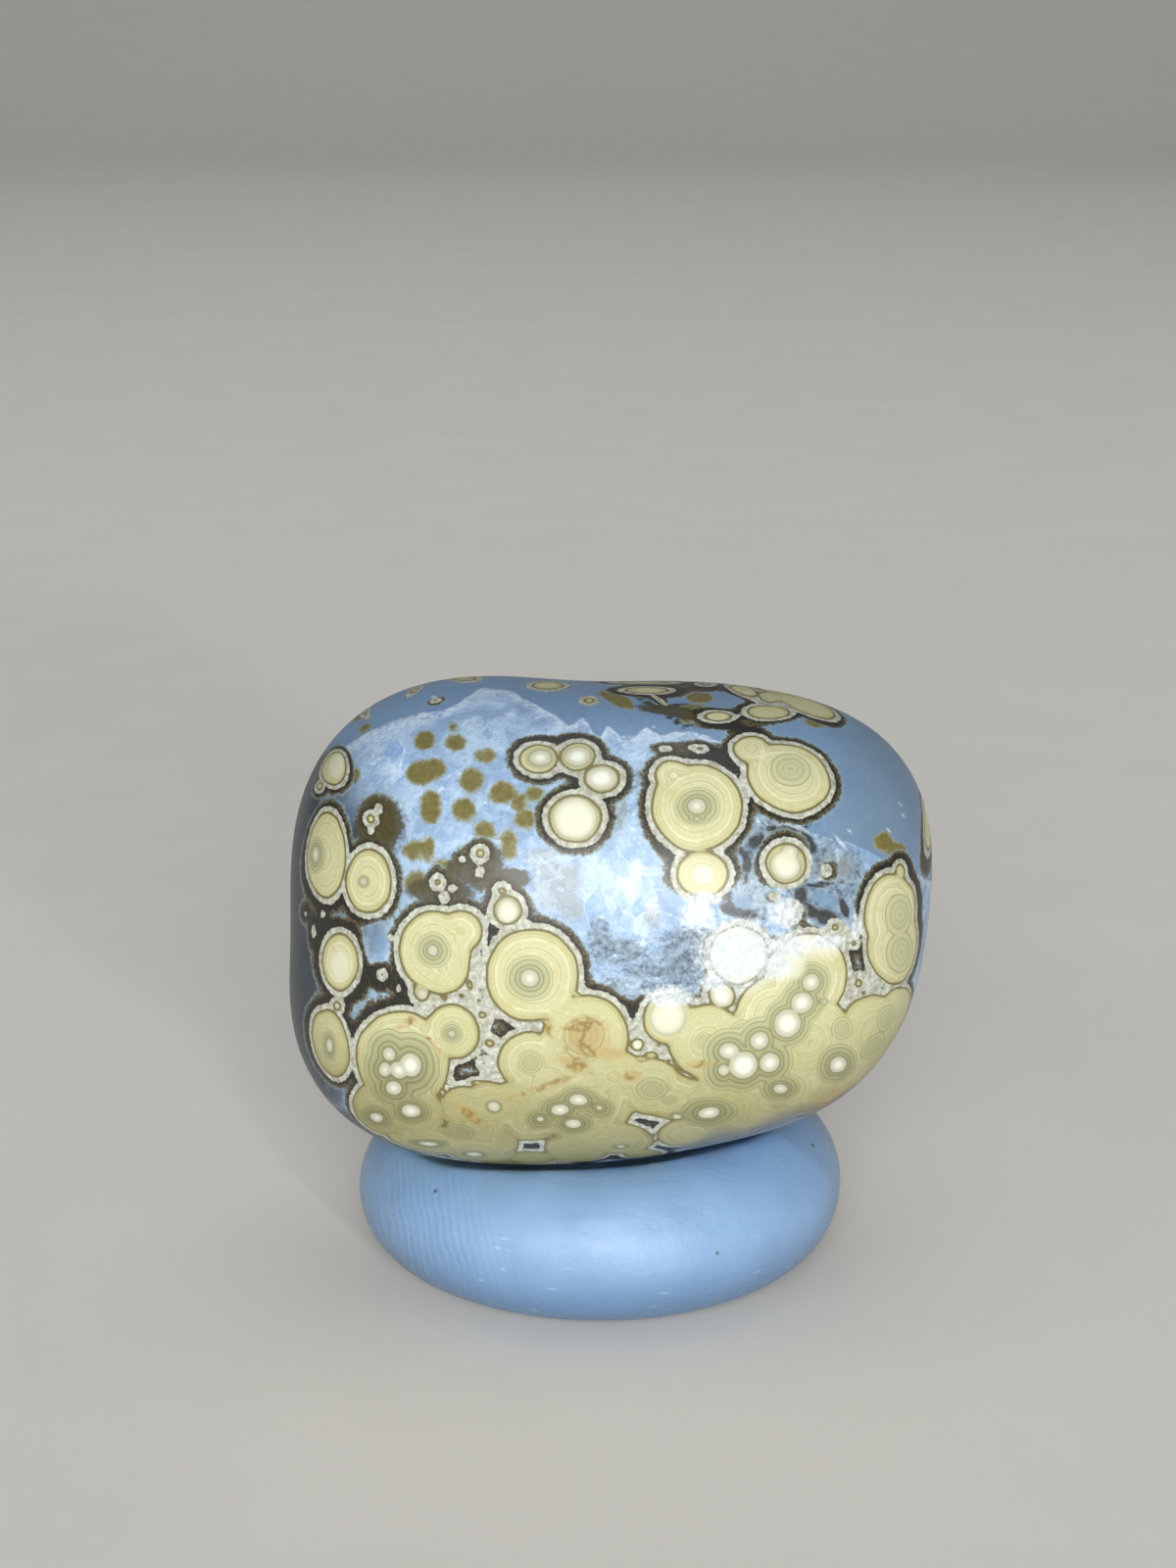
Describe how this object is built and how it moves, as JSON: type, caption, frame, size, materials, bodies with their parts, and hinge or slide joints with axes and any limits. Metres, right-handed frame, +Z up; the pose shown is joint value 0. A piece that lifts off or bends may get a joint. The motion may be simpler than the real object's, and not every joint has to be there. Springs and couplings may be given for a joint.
{
  "type": "agate pebble",
  "caption": "Tumble-polished orbicular agate pebble, a rounded block with ringed cream orbs in blue-grey chalcedony, standing in a pressed pad of putty.",
  "frame": {"origin": "centre of the putty pad's flat underside, on the surface that it stands on", "axes": "+Z up, +X along the pebble's long axis to the right of its broad face, and -Y out of that broad face"},
  "size_m": [0.0362, 0.0272, 0.0342],
  "materials": {
    "polished_agate": "polished",
    "blue_grey_putty": "satin"
  },
  "bodies": {
    "root": {"pebble": "polished_agate", "putty_stand": "blue_grey_putty"}
  },
  "joints": []
}
